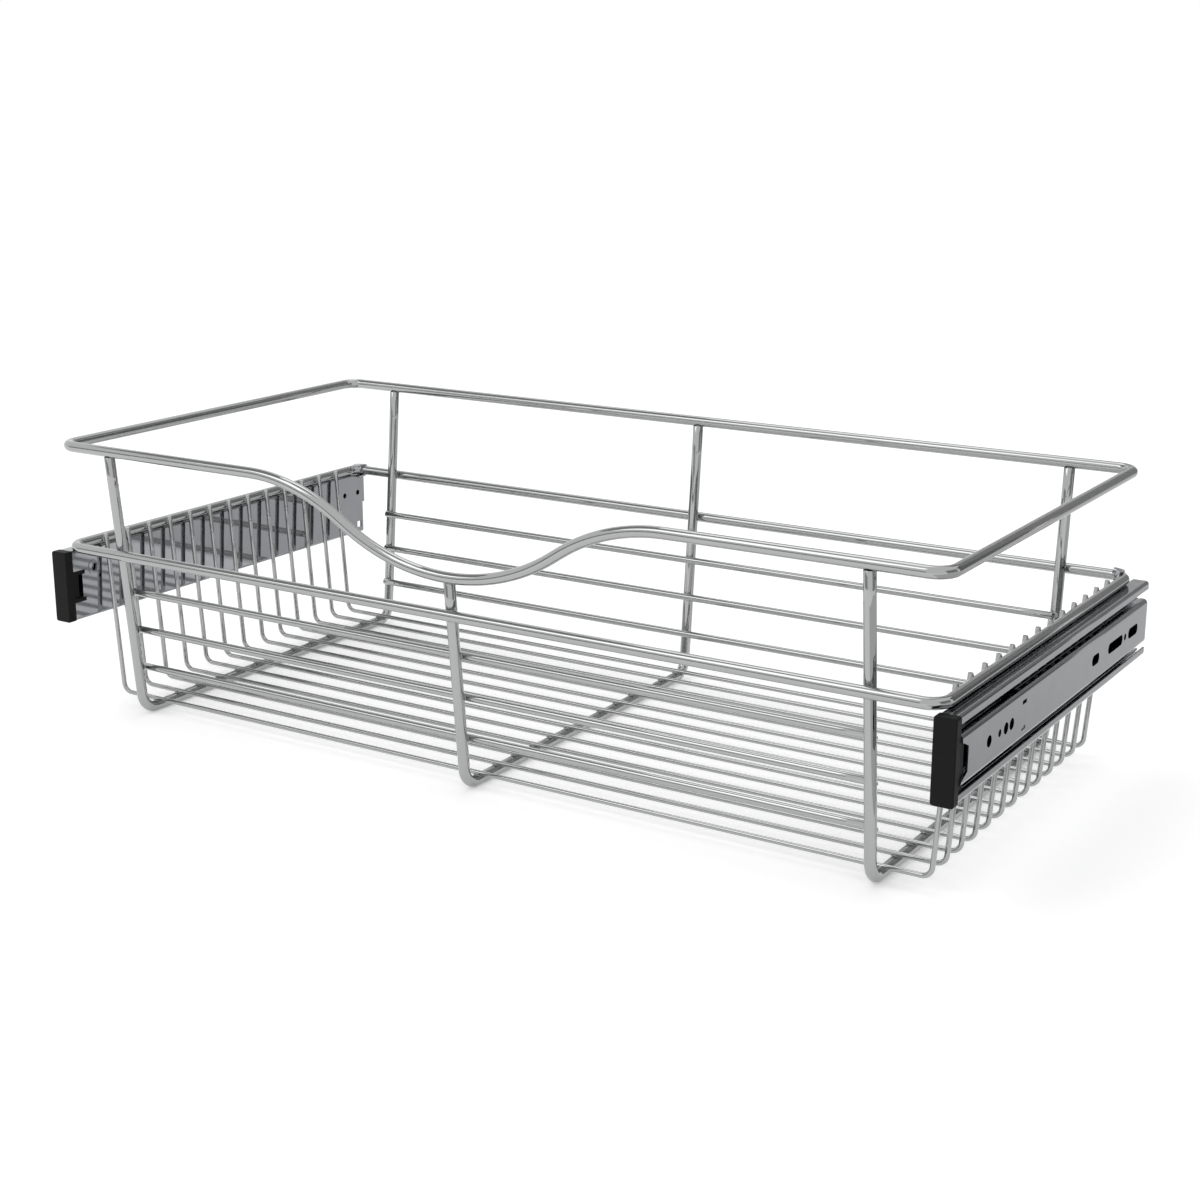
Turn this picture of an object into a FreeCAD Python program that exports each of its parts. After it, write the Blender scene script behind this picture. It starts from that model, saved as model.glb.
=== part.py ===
import FreeCAD, Part
import math
import os

os.makedirs("parts", exist_ok=True)

# Pull-out wire basket, carried between two cabinet walls by a pair of ball-bearing slides.
# Millimetres. X runs to the right, Y to the back and Z up. The origin lies under the middle of the
# slides: the floor wires' undersides are on Z = 0, and the basket pulls out towards the front, -Y.

# Cabinet and slides
opening_width = 609.6         # clear width between the two cabinet walls
slide_length = 296.5          # front of the end cap to the rear end of the channel
slide_height = 45.7           # channel's outer height
slide_thickness = 12.7        # channel's web to the wall
sheet = 1.2                   # thickness of every slide member
travel_short = 6.5            # how much shorter the travel is than the slide

# Wires
rim_wire_d = 6.6
middle_wire_d = 6.4
loop_wire_d = 6.6
rail_wire_d = 4.5
cross_wire_d = 2.9
weld_set_down = 0.25          # how far two welded wires press into each other

# Basket
rim_rise = 170.0              # top rim's centre line above the floor runs' centre line
middle_rise = 105.4           # middle rim's centre line above the same
rim_over_web = 1.1            # rims' side centre line outside the channel web's inner face
rim_setback = 5.8             # top rim's front centre line behind the slide's front end
rim_rear_setback = 8.3        # top rim's rear centre line before the slide's rear end
rim_corner_r = 10.5
loop_inset = 0.3              # loops' centre line inside the top rim's centre line
loop_side_gap = 40.0          # outer loops' centre line to the rim's side centre line
loop_lean = math.radians(5.25)
loop_bend_r = 11.0
rail_count = 3
rail_low_z = 31.8
rail_pitch = 25.0
rail_past_loop = 0.2          # rail's end beyond the outer loop's centre line
cross_count = 13
cross_end_margin = 1.3        # first cross wire's centre to the start of the loop's bend
cross_lean = math.radians(4.3)
cross_bend_r = 6.0
cross_stand = 0.2             # cross wire's cut end above the middle rim's top

# Dip in the front of the top rim
dip_depth = 43.7
dip_low_r = 128.0
dip_high_r = 117.0
dip_straight = 7.7            # straight run between the low arc and each high arc
dip_tilt = math.radians(3.0)

# Slide sections, measured across X from the channel web's inner face and in Z from the middle
channel_corner_r = 2.0
lip_drop = 4.9                # channel's lip, down from its top
wall_web_proud = 1.7          # wall member's outer face beyond the channel's lips
race_gap = 3.5                # between the faces that a ball row runs between
web_gap = 1.0                 # channel's web to the intermediate member's web
intermediate_reach = 9.3      # intermediate member's flange ends
intermediate_corner_r = 1.5
wall_flange_start = 4.6       # wall member's flange ends
wall_corner_r = 2.75
inner_bend_r = 0.5
edge_r = 0.3                  # broken sheet edges

# Slide members along Y
cap_plate = 5.8               # end cap's front plate
wall_front_gap = 0.3          # wall member's front end behind the cap's plate
wall_rear_gap = 5.9           # wall member's rear end before the channel's rear end
intermediate_front_gap = 10.2 # intermediate member's front end behind the cap's plate
intermediate_rear_gap = 8.0
rear_step = 2.1               # lower half of the channel's web ends sooner at the rear

# Balls and cages
ball_d = 4.0
race_clearance = 0.05
cage_sheet = 0.4
cage_web_gap = 0.3
cage_hole_clearance = 0.1
cage_edge = 0.7               # strip left beside a ball hole
cage_end = 8.0                # last ball to the cage's end
cage_margin = 2.5             # cage's end inside the overlap of its two members
ball_pitch = 12.5
outer_row_x = 4.9             # ball rows across X, from the channel web's inner face
inner_row_x = 7.2

# Seats and clearances
seat_gap = 0.05               # middle rim above the channel's corner
plug_gap = 0.15               # end cap's plug inside the channel
cap_clear = 0.35              # end cap's plug to the other two members
cut_over = 1.0                # how far a cutter reaches beyond what it cuts

# Rear hook over the middle rim
hook_width = 6.0
hook_start = 1.8              # hook's near side inside the web's inner face
hook_gap = 0.2
hook_back = 1.0               # strap's lower end before the wire's centre
hook_shelf = 6.4              # shelf under the wire, in front of the wire's centre

# Wall member's holes, from the front face of the cap or from the rear end of the channel
small_hole_d = 4.0
small_hole_from_front = 54.8
small_hole_from_rear = 45.2
system_hole_d = 6.2
system_holes_from_front = (40.7, 63.3, 71.2)
slot_height = 6.2
slot_corner_r = 2.9
slots_from_rear = ((102.8, 91.0), (75.3, 50.0), (39.5, 22.4))
window_from_front = 88.4
window_size = (5.8, 2.1)
window_z = 7.0
pocket_depth = 0.5
front_notch = 7.6             # depth of the notch in the wall member's front end
front_notch_flat = 6.6        # half height at the notch's bottom
front_notch_wide = 9.8        # half height at its mouth
notch_chamfer = 0.6
notch_drop = 0.5              # middle of the notch, down

# Channel's holes
front_cuts_drop = 1.0         # middle of the cut-out and its slots, down
cutout_from_front = 13.5      # bottom of the cut-out behind the cap's front face
arm_slot_from_front = 15.8    # bottom of the cap arms' slots at the cut-out's corners
arm_slot_height = 2.8
arm_slot_z = 8.8
latch_hole_d = 5.0
latch_hole_from_front = 24.0
latch_hole_z = 9.0
pin_hole_d = 2.0
pin_hole_from_front = 28.5
pin_hole_z = 2.6
emboss_d = 10.0
emboss_rise = 0.4
rear_hole_d = 3.8
rear_holes_from_end = (7.5, 22.5)
rear_hole_z = 8.0
rear_slot = (4.6, 4.6)
rear_slot_from_end = 6.6
rear_slot_z = 16.4

# End cap
cap_over_web = 0.6            # cap's plate inside the channel web's inner face
cap_over_lip = 0.7
cap_corner_r = 1.6
cap_edge_r = 0.8
plug_corner_r = 1.6
plug_depth = 5.6
wing_depth = 9.6
arm_tip_gap = 0.15            # cap arm's tip before the bottom of its slot
arm_foot = 0.9                # arm's foot inside the web
arm_foot_lap = 0.7            # foot wider than the arm, up and down

# Rear stop, plugged into the wall member's rear end
stop_fit = 0.15               # stop inside the wall member
stop_length = 14.1            # part between the wall member's flanges
stop_web_gap = 0.5            # stop's side face to the intermediate member's web
stop_gap = 0.3                # stop behind the intermediate member's rear end
stop_tail = 3.4               # how far the stop stands out behind the wall member
stop_tail_gap = 0.35          # this tail's face to the channel's web
stop_corner_r = 1.6

# Sizes worked out from the values above
V = FreeCAD.Vector
rim_r = rim_wire_d / 2
middle_r = middle_wire_d / 2
loop_r = loop_wire_d / 2
rail_r = rail_wire_d / 2
cross_r = cross_wire_d / 2
ball_r = ball_d / 2
wall_x = opening_width / 2
web_x = wall_x - slide_thickness
rim_x = web_x + rim_over_web
floor_z = loop_r
rim_z = floor_z + rim_rise
middle_z = floor_z + middle_rise
front_y = -slide_length / 2
rear_y = slide_length / 2
rim_y = (slide_length - rim_setback - rim_rear_setback) / 2
basket_y = (rim_setback - rim_rear_setback) / 2
travel = slide_length - travel_short
loop_x = rim_x - loop_side_gap

half_height = slide_height / 2
corner_overhang = max(0.0, channel_corner_r - rim_over_web)
seat_reach = channel_corner_r + middle_r + seat_gap
slide_z = middle_z - math.sqrt(seat_reach ** 2 - corner_overhang ** 2) + channel_corner_r - half_height
lip_x = slide_thickness - wall_web_proud
intermediate_half = half_height - sheet - race_gap
wall_half = intermediate_half - sheet - race_gap
outer_row_z = intermediate_half + race_gap / 2
inner_row_z = wall_half + race_gap / 2
intermediate_web = sheet + web_gap

channel_front = front_y + cap_plate
wall_front = channel_front + wall_front_gap
wall_rear = rear_y - wall_rear_gap
intermediate_front = channel_front + intermediate_front_gap
intermediate_rear = rear_y - intermediate_rear_gap


# The basket's wires are made about their own middle plane and then moved to basket_y.
def leg_y(z):
    """Distance of a loop's leg from the basket's middle plane at height z."""
    return rim_y - loop_inset - (rim_z - z) * math.tan(loop_lean)


middle_y = leg_y(middle_z) + (loop_r + middle_r - weld_set_down) / math.cos(loop_lean)


def rounded_edges(points, radii, closed=False):
    """Straight runs through the points, joined by tangent arcs of the given radii."""
    count = len(points)
    starts = []
    ends = []
    arcs = []
    for i in range(count):
        p = points[i]
        inner = closed or 0 < i < count - 1
        r = radii[i] if inner else 0.0
        if r <= 0.0:
            starts.append(p)
            ends.append(p)
            arcs.append(None)
            continue
        back = (points[i - 1] - p).normalize()
        ahead = (points[(i + 1) % count] - p).normalize()
        half = back.getAngle(ahead) / 2
        tangent = r / math.tan(half)
        middle = (back + ahead).normalize()
        centre = p + middle * (r / math.sin(half))
        a = p + back * tangent
        b = p + ahead * tangent
        starts.append(a)
        ends.append(b)
        arcs.append(Part.Arc(a, centre - middle * r, b).toShape())
    edges = []
    for i in range(count):
        if arcs[i] is not None:
            edges.append(arcs[i])
        if i + 1 < count or closed:
            a = ends[i]
            b = starts[(i + 1) % count]
            if a.distanceToPoint(b) > 1e-6:
                edges.append(Part.LineSegment(a, b).toShape())
    return edges


def wire_solid(edges, start, direction, diameter):
    """Round wire swept along edges that follow one another from the start point."""
    section = Part.Wire([Part.makeCircle(diameter / 2, start, direction)])
    return Part.Wire(edges).makePipeShell([section], True, False)


def member(points, radii, y0, y1):
    """Sheet section in X and Z, given from the channel web's face and the slide's middle, run along Y."""
    corners = [V(web_x + x, y0, slide_z + z) for x, z in points]
    face = Part.Face(Part.Wire(rounded_edges(corners, radii, closed=True)))
    return face.extrude(V(0, y1 - y0, 0))


def mirrored_section(upper):
    """Full section from its upper half, given from the open side round to the web."""
    lower = [(x, -z, r) for x, z, r in reversed(upper)]
    both = upper + lower
    return [(x, z) for x, z, r in both], [r for x, z, r in both]


def prism(corners, direction):
    """Straight-edged outline pushed along a direction."""
    return Part.Face(Part.makePolygon(corners + corners[:1])).extrude(direction)


def block(x0, x1, y0, y1, z0, z1):
    """Box given in X from the channel web's face and in Z from the slide's middle."""
    corner = V(web_x + x0, y0, slide_z + z0)
    return Part.makeBox(x1 - x0, y1 - y0, z1 - z0, corner)


def rounded_block(x0, x1, y0, y1, z0, z1, radius):
    """Block whose four edges along Y are rounded."""
    return member([(x0, z0), (x1, z0), (x1, z1), (x0, z1)], [radius] * 4, y0, y1)


def across(radius, y, z, x0, x1):
    """Round bar or drill along X."""
    return Part.makeCylinder(radius, x1 - x0, V(web_x + x0, y, slide_z + z), V(1, 0, 0))


def slot_cutter(y0, y1, z, height, corner_r, x0, x1):
    """Slot with rounded corners, cut along X."""
    low = slide_z + z - height / 2
    high = low + height
    corners = [V(web_x + x0, y, at) for y, at in ((y0, low), (y1, low), (y1, high), (y0, high))]
    face = Part.Face(Part.Wire(rounded_edges(corners, [corner_r] * 4, closed=True)))
    return face.extrude(V(x1 - x0, 0, 0))


def race(x, z, y0, y1):
    """Groove that a ball row runs in."""
    start = V(web_x + x, y0, slide_z + z)
    return Part.makeCylinder(ball_r + race_clearance, y1 - y0, start, V(0, 1, 0))


def races(x, z, y0, y1):
    """The upper and the lower groove."""
    return [race(x, z, y0, y1), race(x, -z, y0, y1)]


def dip_edges(run_y):
    """Front run of the top rim from left to right between its corners, with the dip in the middle."""
    arcs_r = dip_low_r + dip_high_r
    swing = math.atan2(arcs_r, dip_straight)
    dip_slope = swing + math.asin((dip_depth - arcs_r) / math.hypot(arcs_r, dip_straight))
    line_x = dip_low_r * math.sin(dip_slope) + dip_straight * math.cos(dip_slope)
    outer_x = line_x + dip_high_r * math.sin(dip_slope)

    def place(x, drop):
        return V(x, run_y + drop * math.sin(dip_tilt), rim_z - drop * math.cos(dip_tilt))

    def high(angle):
        return outer_x - dip_high_r * math.sin(angle), dip_high_r * (1 - math.cos(angle))

    def low(angle):
        return dip_low_r * math.sin(angle), dip_depth - dip_low_r * (1 - math.cos(angle))

    def high_arc(side):
        spots = [place(side * x, drop) for x, drop in (high(0), high(dip_slope / 2), high(dip_slope))]
        return spots[::-side]

    left = high_arc(-1)
    right = high_arc(1)
    left_low = place(-low(dip_slope)[0], low(dip_slope)[1])
    right_low = place(*low(dip_slope))
    run_end = rim_x - rim_corner_r
    edges = [
        Part.LineSegment(V(-run_end, run_y, rim_z), left[0]).toShape(),
        Part.Arc(*left).toShape(),
        Part.LineSegment(left[2], left_low).toShape(),
        Part.Arc(left_low, place(*low(0)), right_low).toShape(),
        Part.LineSegment(right_low, right[0]).toShape(),
        Part.Arc(*right).toShape(),
        Part.LineSegment(right[2], V(run_end, run_y, rim_z)).toShape(),
    ]
    return edges


def top_rim():
    """Closed wire with the dip in its front run."""
    corners = [
        V(rim_x - rim_corner_r, -rim_y, rim_z),
        V(rim_x, -rim_y, rim_z),
        V(rim_x, rim_y, rim_z),
        V(-rim_x, rim_y, rim_z),
        V(-rim_x, -rim_y, rim_z),
        V(-rim_x + rim_corner_r, -rim_y, rim_z),
    ]
    radii = [0, rim_corner_r, rim_corner_r, rim_corner_r, rim_corner_r, 0]
    edges = rounded_edges(corners, radii) + dip_edges(-rim_y)
    return wire_solid(edges, corners[0], V(1, 0, 0), rim_wire_d)


def middle_rim():
    """Closed wire outside the loops, which rests on the slides' channels."""
    start = V(0, -middle_y, middle_z)
    corners = [
        start,
        V(rim_x, -middle_y, middle_z),
        V(rim_x, middle_y, middle_z),
        V(-rim_x, middle_y, middle_z),
        V(-rim_x, -middle_y, middle_z),
        start,
    ]
    radii = [0] + [rim_corner_r] * 4 + [0]
    return wire_solid(rounded_edges(corners, radii), start, V(1, 0, 0), middle_wire_d)


def frame_loop(x, front_top):
    """Leaning U of thick wire: front leg, floor run and back leg, butted under the top rim."""
    back_top = rim_z - rim_r + weld_set_down
    foot = leg_y(floor_z)
    corners = [
        V(x, -leg_y(front_top), front_top),
        V(x, -foot, floor_z),
        V(x, foot, floor_z),
        V(x, leg_y(back_top), back_top),
    ]
    down = corners[1] - corners[0]
    radii = [0, loop_bend_r, loop_bend_r, 0]
    return wire_solid(rounded_edges(corners, radii), corners[0], down, loop_wire_d)


def rail(side, z):
    """Straight wire across the inner faces of the three loops."""
    y = leg_y(z) - (loop_r + rail_r - weld_set_down) / math.cos(loop_lean)
    end = loop_x + rail_past_loop
    return Part.makeCylinder(rail_r, 2 * end, V(-end, side * y, z), V(1, 0, 0))


def cross_wire(y):
    """Thin U across the floor, with both ends welded inside the middle rim."""
    floor = floor_z + loop_r + cross_r - weld_set_down
    top = middle_z + middle_r + cross_stand

    def side_x(z):
        at_rim = rim_x - (middle_r + cross_r - weld_set_down) / math.cos(cross_lean)
        return at_rim - (middle_z - z) * math.tan(cross_lean)

    corners = [
        V(-side_x(top), y, top),
        V(-side_x(floor), y, floor),
        V(side_x(floor), y, floor),
        V(side_x(top), y, top),
    ]
    radii = [0, cross_bend_r, cross_bend_r, 0]
    return wire_solid(rounded_edges(corners, radii), corners[0], corners[1] - corners[0], cross_wire_d)


def rim_corner(reach):
    """Round bar of the given radius along the middle rim's rear corner and the runs beside it."""
    run = hook_start + hook_width + 2 * rim_corner_r
    y = basket_y + middle_y
    corners = [V(rim_x - run, y, middle_z), V(rim_x, y, middle_z), V(rim_x, y - run, middle_z)]
    return wire_solid(rounded_edges(corners, [0, rim_corner_r, 0]), corners[0], V(1, 0, 0), 2 * reach)


def rear_hook():
    """Tab of the channel: a shelf under the middle rim's rear run, and a strap that curls round the wire."""
    reach = middle_r + hook_gap
    outer = reach + sheet
    wire_y = basket_y + middle_y
    wire_z = middle_z - slide_z
    x1 = -hook_start
    x0 = x1 - hook_width
    span = block(x0, x1, wire_y - 2 * outer, wire_y + 2 * outer, wire_z - 2 * outer, wire_z + 2 * outer)
    mouth = block(x0 - cut_over, x1 + cut_over, wire_y - 3 * outer, wire_y - hook_back,
                  wire_z - 3 * outer, wire_z)
    strap = rim_corner(outer).common(span).cut([rim_corner(reach), mouth])
    shelf = block(x0, sheet, wire_y - hook_shelf, wire_y, wire_z - outer, wire_z - reach)
    return [strap, shelf]


def channel():
    """Outermost member: it carries the basket, and its lips face the wall."""
    bend = channel_corner_r - sheet
    upper = [
        (0, half_height, channel_corner_r),
        (lip_x, half_height, channel_corner_r),
        (lip_x, half_height - lip_drop, edge_r),
        (lip_x - sheet, half_height - lip_drop, edge_r),
        (lip_x - sheet, half_height - sheet, bend),
        (sheet, half_height - sheet, bend),
    ]
    points, radii = mirrored_section(upper)
    solid = member(points, radii, channel_front, rear_y)
    cuts = races(outer_row_x, outer_row_z, channel_front, rear_y)
    through = (-emboss_rise - cut_over, sheet + cut_over)
    cuts.append(block(-cut_over, channel_corner_r, rear_y - rear_step, rear_y + cut_over,
                      -half_height - cut_over, 0))
    start = channel_front - cut_over
    half = arm_slot_z + arm_slot_height / 2
    cuts.append(block(*through, start, front_y + cutout_from_front,
                      -half - front_cuts_drop, half - front_cuts_drop))
    for side in (-1, 1):
        z = side * arm_slot_z - front_cuts_drop
        cuts.append(block(*through, start, front_y + arm_slot_from_front,
                          z - arm_slot_height / 2, z + arm_slot_height / 2))
    y = rear_y - rear_slot_from_end
    cuts.append(block(*through, y - rear_slot[0] / 2, y + rear_slot[0] / 2,
                      -rear_slot_z - rear_slot[1] / 2, -rear_slot_z + rear_slot[1] / 2))
    for back in rear_holes_from_end:
        cuts.append(across(rear_hole_d / 2, rear_y - back, rear_hole_z, *through))
    latch_y = front_y + latch_hole_from_front
    cuts.append(across(latch_hole_d / 2, latch_y, latch_hole_z, *through))
    cuts.append(across(pin_hole_d / 2, front_y + pin_hole_from_front, pin_hole_z, *through))
    boss = across(emboss_d / 2, latch_y, latch_hole_z, -emboss_rise, sheet / 2)
    return solid.fuse([boss] + rear_hook()).cut(cuts).removeSplitter()


def intermediate_member():
    """Middle member, between the two pairs of ball rows."""
    upper = [
        (intermediate_web, intermediate_half, intermediate_corner_r),
        (intermediate_reach, intermediate_half, edge_r),
        (intermediate_reach, intermediate_half - sheet, edge_r),
        (intermediate_web + sheet, intermediate_half - sheet, inner_bend_r),
    ]
    points, radii = mirrored_section(upper)
    solid = member(points, radii, intermediate_front, intermediate_rear)
    cuts = races(outer_row_x, outer_row_z, intermediate_front, intermediate_rear)
    cuts += races(inner_row_x, inner_row_z, intermediate_front, intermediate_rear)
    return solid.cut(cuts)


def wall_member():
    """Innermost member, screwed to the cabinet wall through its web."""
    upper = [
        (slide_thickness, wall_half, wall_corner_r),
        (wall_flange_start, wall_half, edge_r),
        (wall_flange_start, wall_half - sheet, edge_r),
        (slide_thickness - sheet, wall_half - sheet, wall_corner_r - sheet),
    ]
    points, radii = mirrored_section(upper)
    solid = member(points, radii, wall_front, wall_rear)
    x0 = slide_thickness - sheet - cut_over
    x1 = slide_thickness + cut_over
    cuts = races(inner_row_x, inner_row_z, wall_front, wall_rear)
    for y in (front_y + small_hole_from_front, rear_y - small_hole_from_rear):
        cuts.append(across(small_hole_d / 2, y, 0, x0, x1))
    for back in system_holes_from_front:
        cuts.append(across(system_hole_d / 2, front_y + back, 0, x0, x1))
    for start, end in slots_from_rear:
        cuts.append(slot_cutter(rear_y - start, rear_y - end, 0, slot_height, slot_corner_r, x0, x1))
    y0 = front_y + window_from_front - window_size[0] / 2
    y1 = y0 + window_size[0]
    half = window_size[1] / 2
    cuts.append(block(x0, x1, y0, y1, window_z - half, window_z + half))
    cuts.append(block(slide_thickness - pocket_depth, x1, y0, y1, -window_z - half, -window_z + half))
    notch = [
        (wall_front - cut_over, -front_notch_wide),
        (wall_front + notch_chamfer, -front_notch_wide),
        (wall_front + front_notch, -front_notch_flat),
        (wall_front + front_notch, front_notch_flat),
        (wall_front + notch_chamfer, front_notch_wide),
        (wall_front - cut_over, front_notch_wide),
    ]
    corners = [V(web_x + x0, y, slide_z + z - notch_drop) for y, z in notch]
    cuts.append(prism(corners, V(x1 - x0, 0, 0)))
    return solid.cut(cuts)


def ball_spots(y0, y1):
    """Places of the balls along a cage."""
    length = y1 - y0 - 2 * cage_end
    steps = max(1, int(length / ball_pitch))
    first = (y0 + y1) / 2 - steps * ball_pitch / 2
    return [first + i * ball_pitch for i in range(steps + 1)]


def cage(web, row_x, row_z, y0, y1):
    """C-shaped strip that spaces an upper and a lower row of balls."""
    half = row_z + cage_sheet / 2
    reach = row_x + ball_r + cage_hole_clearance + cage_edge
    upper = [
        (web, half, 2 * cage_sheet),
        (reach, half, 0),
        (reach, half - cage_sheet, 0),
        (web + cage_sheet, half - cage_sheet, cage_sheet),
    ]
    points, radii = mirrored_section(upper)
    solid = member(points, radii, y0, y1)
    hole_r = ball_r + cage_hole_clearance
    cuts = []
    for y in ball_spots(y0, y1):
        for z in (row_z, -row_z):
            centre = V(web_x + row_x, y, slide_z + z - cage_sheet)
            cuts.append(Part.makeCylinder(hole_r, 2 * cage_sheet, centre, V(0, 0, 1)))
    return solid.cut(cuts)


def balls(row_x, row_z, y0, y1):
    """The two rows of balls in a cage."""
    group = []
    for y in ball_spots(y0, y1):
        for z in (row_z, -row_z):
            group.append(Part.makeSphere(ball_r, V(web_x + row_x, y, slide_z + z)))
    return Part.makeCompound(group)


def overlap_span(front_a, rear_a, move_a, front_b, rear_b, move_b, move_cage):
    """Where a cage lies at rest so that it stays between its two members at full travel."""
    low = max(front_a - move_a, front_b - move_b) + move_cage + cage_margin
    high = min(rear_a - move_a, rear_b - move_b) + move_cage - cage_margin
    return low, high


def end_cap():
    """Moulded cap: front plate, plug inside the channel, wings in its grooves and two arms in its slots."""
    plate_points = [
        V(web_x - cap_over_web, front_y, slide_z - half_height),
        V(web_x + lip_x + cap_over_lip, front_y, slide_z - half_height),
        V(web_x + lip_x + cap_over_lip, front_y, slide_z + half_height),
        V(web_x - cap_over_web, front_y, slide_z + half_height),
    ]
    outline = rounded_edges(plate_points, [cap_corner_r] * 4, closed=True)
    plate = Part.Face(Part.Wire(outline)).extrude(V(0, cap_plate, 0))
    front_edges = [e for e in plate.Edges if e.BoundBox.YMax < front_y + 0.01]
    plate = plate.makeFillet(cap_edge_r, front_edges)
    low_x = sheet + plug_gap
    plug_half = wall_half - sheet - cap_clear
    plug = rounded_block(low_x, slide_thickness - sheet - cap_clear, channel_front,
                         channel_front + plug_depth, -plug_half, plug_half, plug_corner_r)
    pieces = [plug]
    wing_low = wall_half + cap_clear
    wing_high = half_height - sheet - plug_gap
    wing_x = lip_x - sheet - plug_gap
    for side in (-1, 1):
        z0, z1 = sorted((side * wing_low, side * wing_high))
        pieces.append(rounded_block(low_x, wing_x, channel_front, channel_front + wing_depth,
                                    z0, z1, channel_corner_r - sheet))
        z = side * arm_slot_z - front_cuts_drop
        tip = front_y + arm_slot_from_front - arm_tip_gap
        half = arm_slot_height / 2 - plug_gap
        foot = half + arm_foot_lap
        pieces.append(block(0, low_x, channel_front, tip, z - half, z + half))
        pieces.append(rounded_block(low_x, low_x + arm_foot, channel_front, tip, z - foot, z + foot, edge_r))
    return plate.fuse(pieces).removeSplitter()


def rear_stop():
    """Moulded plug in the wall member's rear end, which the intermediate member closes against."""
    half = wall_half - sheet - stop_fit
    outer_x = slide_thickness - sheet - stop_fit
    inner_x = intermediate_web + sheet + stop_web_gap
    end = wall_rear + stop_tail
    body = rounded_block(inner_x, outer_x, wall_rear - stop_length, end, -half, half, stop_corner_r)
    tail = rounded_block(sheet + stop_tail_gap, outer_x, intermediate_rear + stop_gap, end,
                         -half, half, stop_corner_r)
    return body.fuse(tail).removeSplitter()


def save(name, shape):
    """Write one sub-part and print what it holds."""
    solids = shape.Solids
    good = all(s.isValid() and s.Volume > 0 for s in solids)
    print(f"{name:24s} solids {len(solids):3d}  volume {shape.Volume:10.1f}  {'ok' if good else 'BAD'}")
    out = solids[0] if len(solids) == 1 else Part.makeCompound(solids)
    out.exportStep(f"parts/{name}.step")


def save_wire(name, wire):
    """Write a wire of the basket, moved to the basket's place between the slides."""
    save(name, wire.translated(V(0, basket_y, 0)))


def save_pair(name, right):
    """Write a slide piece for the right side and its mirror image for the left."""
    save(f"{name}_right", right)
    save(f"{name}_left", right.mirror(V(0, 0, 0), V(1, 0, 0)))


# Basket wires
save_wire("top_rim", top_rim())
save_wire("middle_rim", middle_rim())
leg_top = rim_z - rim_r + weld_set_down
dip_top = leg_top - dip_depth * math.cos(dip_tilt)
save_wire("frame_loop_left", frame_loop(-loop_x, leg_top))
save_wire("frame_loop_centre", frame_loop(0, dip_top))
save_wire("frame_loop_right", frame_loop(loop_x, leg_top))
for i in range(rail_count):
    save_wire(f"front_rail_{i + 1}", rail(-1, rail_low_z + i * rail_pitch))
    save_wire(f"back_rail_{i + 1}", rail(1, rail_low_z + i * rail_pitch))
bend_turn = math.pi / 2 - loop_lean
flat_half = leg_y(floor_z) - loop_bend_r * math.tan(bend_turn / 2)
cross_pitch = 2 * (flat_half - cross_end_margin) / (cross_count - 1)
for i in range(cross_count):
    save_wire(f"cross_wire_{i + 1:02d}", cross_wire((i - (cross_count - 1) / 2) * cross_pitch))

# Slides
save_pair("channel", channel())
save_pair("end_cap", end_cap())
save_pair("intermediate_member", intermediate_member())
save_pair("wall_member", wall_member())
save_pair("rear_stop", rear_stop())
outer_span = overlap_span(channel_front, rear_y - rear_step, travel,
                          intermediate_front, intermediate_rear, travel / 2, travel * 3 / 4)
inner_span = overlap_span(wall_front, wall_rear, 0,
                          intermediate_front, intermediate_rear, travel / 2, travel / 4)
save_pair("outer_cage", cage(sheet + cage_web_gap, outer_row_x, outer_row_z, *outer_span))
save_pair("outer_balls", balls(outer_row_x, outer_row_z, *outer_span))
save_pair("inner_cage", cage(intermediate_web + sheet + cage_web_gap, inner_row_x, inner_row_z, *inner_span))
save_pair("inner_balls", balls(inner_row_x, inner_row_z, *inner_span))
print(f"cross wire pitch {cross_pitch:.2f}, slide middle {slide_z:.2f}, middle rim half depth {middle_y:.2f}")
print(f"outer cage {outer_span[0]:.1f} to {outer_span[1]:.1f}")
print(f"inner cage {inner_span[0]:.1f} to {inner_span[1]:.1f}")
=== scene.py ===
import math
import random

import bmesh
import bpy
from bpy.props import FloatProperty, FloatVectorProperty, IntProperty, PointerProperty
from mathutils import Matrix, Vector, noise


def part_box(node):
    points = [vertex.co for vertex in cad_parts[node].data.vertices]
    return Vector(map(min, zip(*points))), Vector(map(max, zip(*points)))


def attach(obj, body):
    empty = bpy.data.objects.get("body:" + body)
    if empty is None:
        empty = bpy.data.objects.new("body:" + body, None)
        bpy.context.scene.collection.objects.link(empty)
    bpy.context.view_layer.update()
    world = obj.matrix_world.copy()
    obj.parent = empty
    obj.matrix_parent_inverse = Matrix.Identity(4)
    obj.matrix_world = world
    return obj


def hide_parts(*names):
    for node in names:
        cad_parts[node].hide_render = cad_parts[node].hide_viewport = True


bl_info = {
    "name": "Pull-out wire basket",
    "version": (1, 0, 0),
    "blender": (4, 5, 0),
    "location": "View3D > Sidebar > Wire Basket",
    "description": "Chrome-plated wire basket on a pair of ball-bearing slides, dressed over its frame",
    "category": "Object",
}

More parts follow.
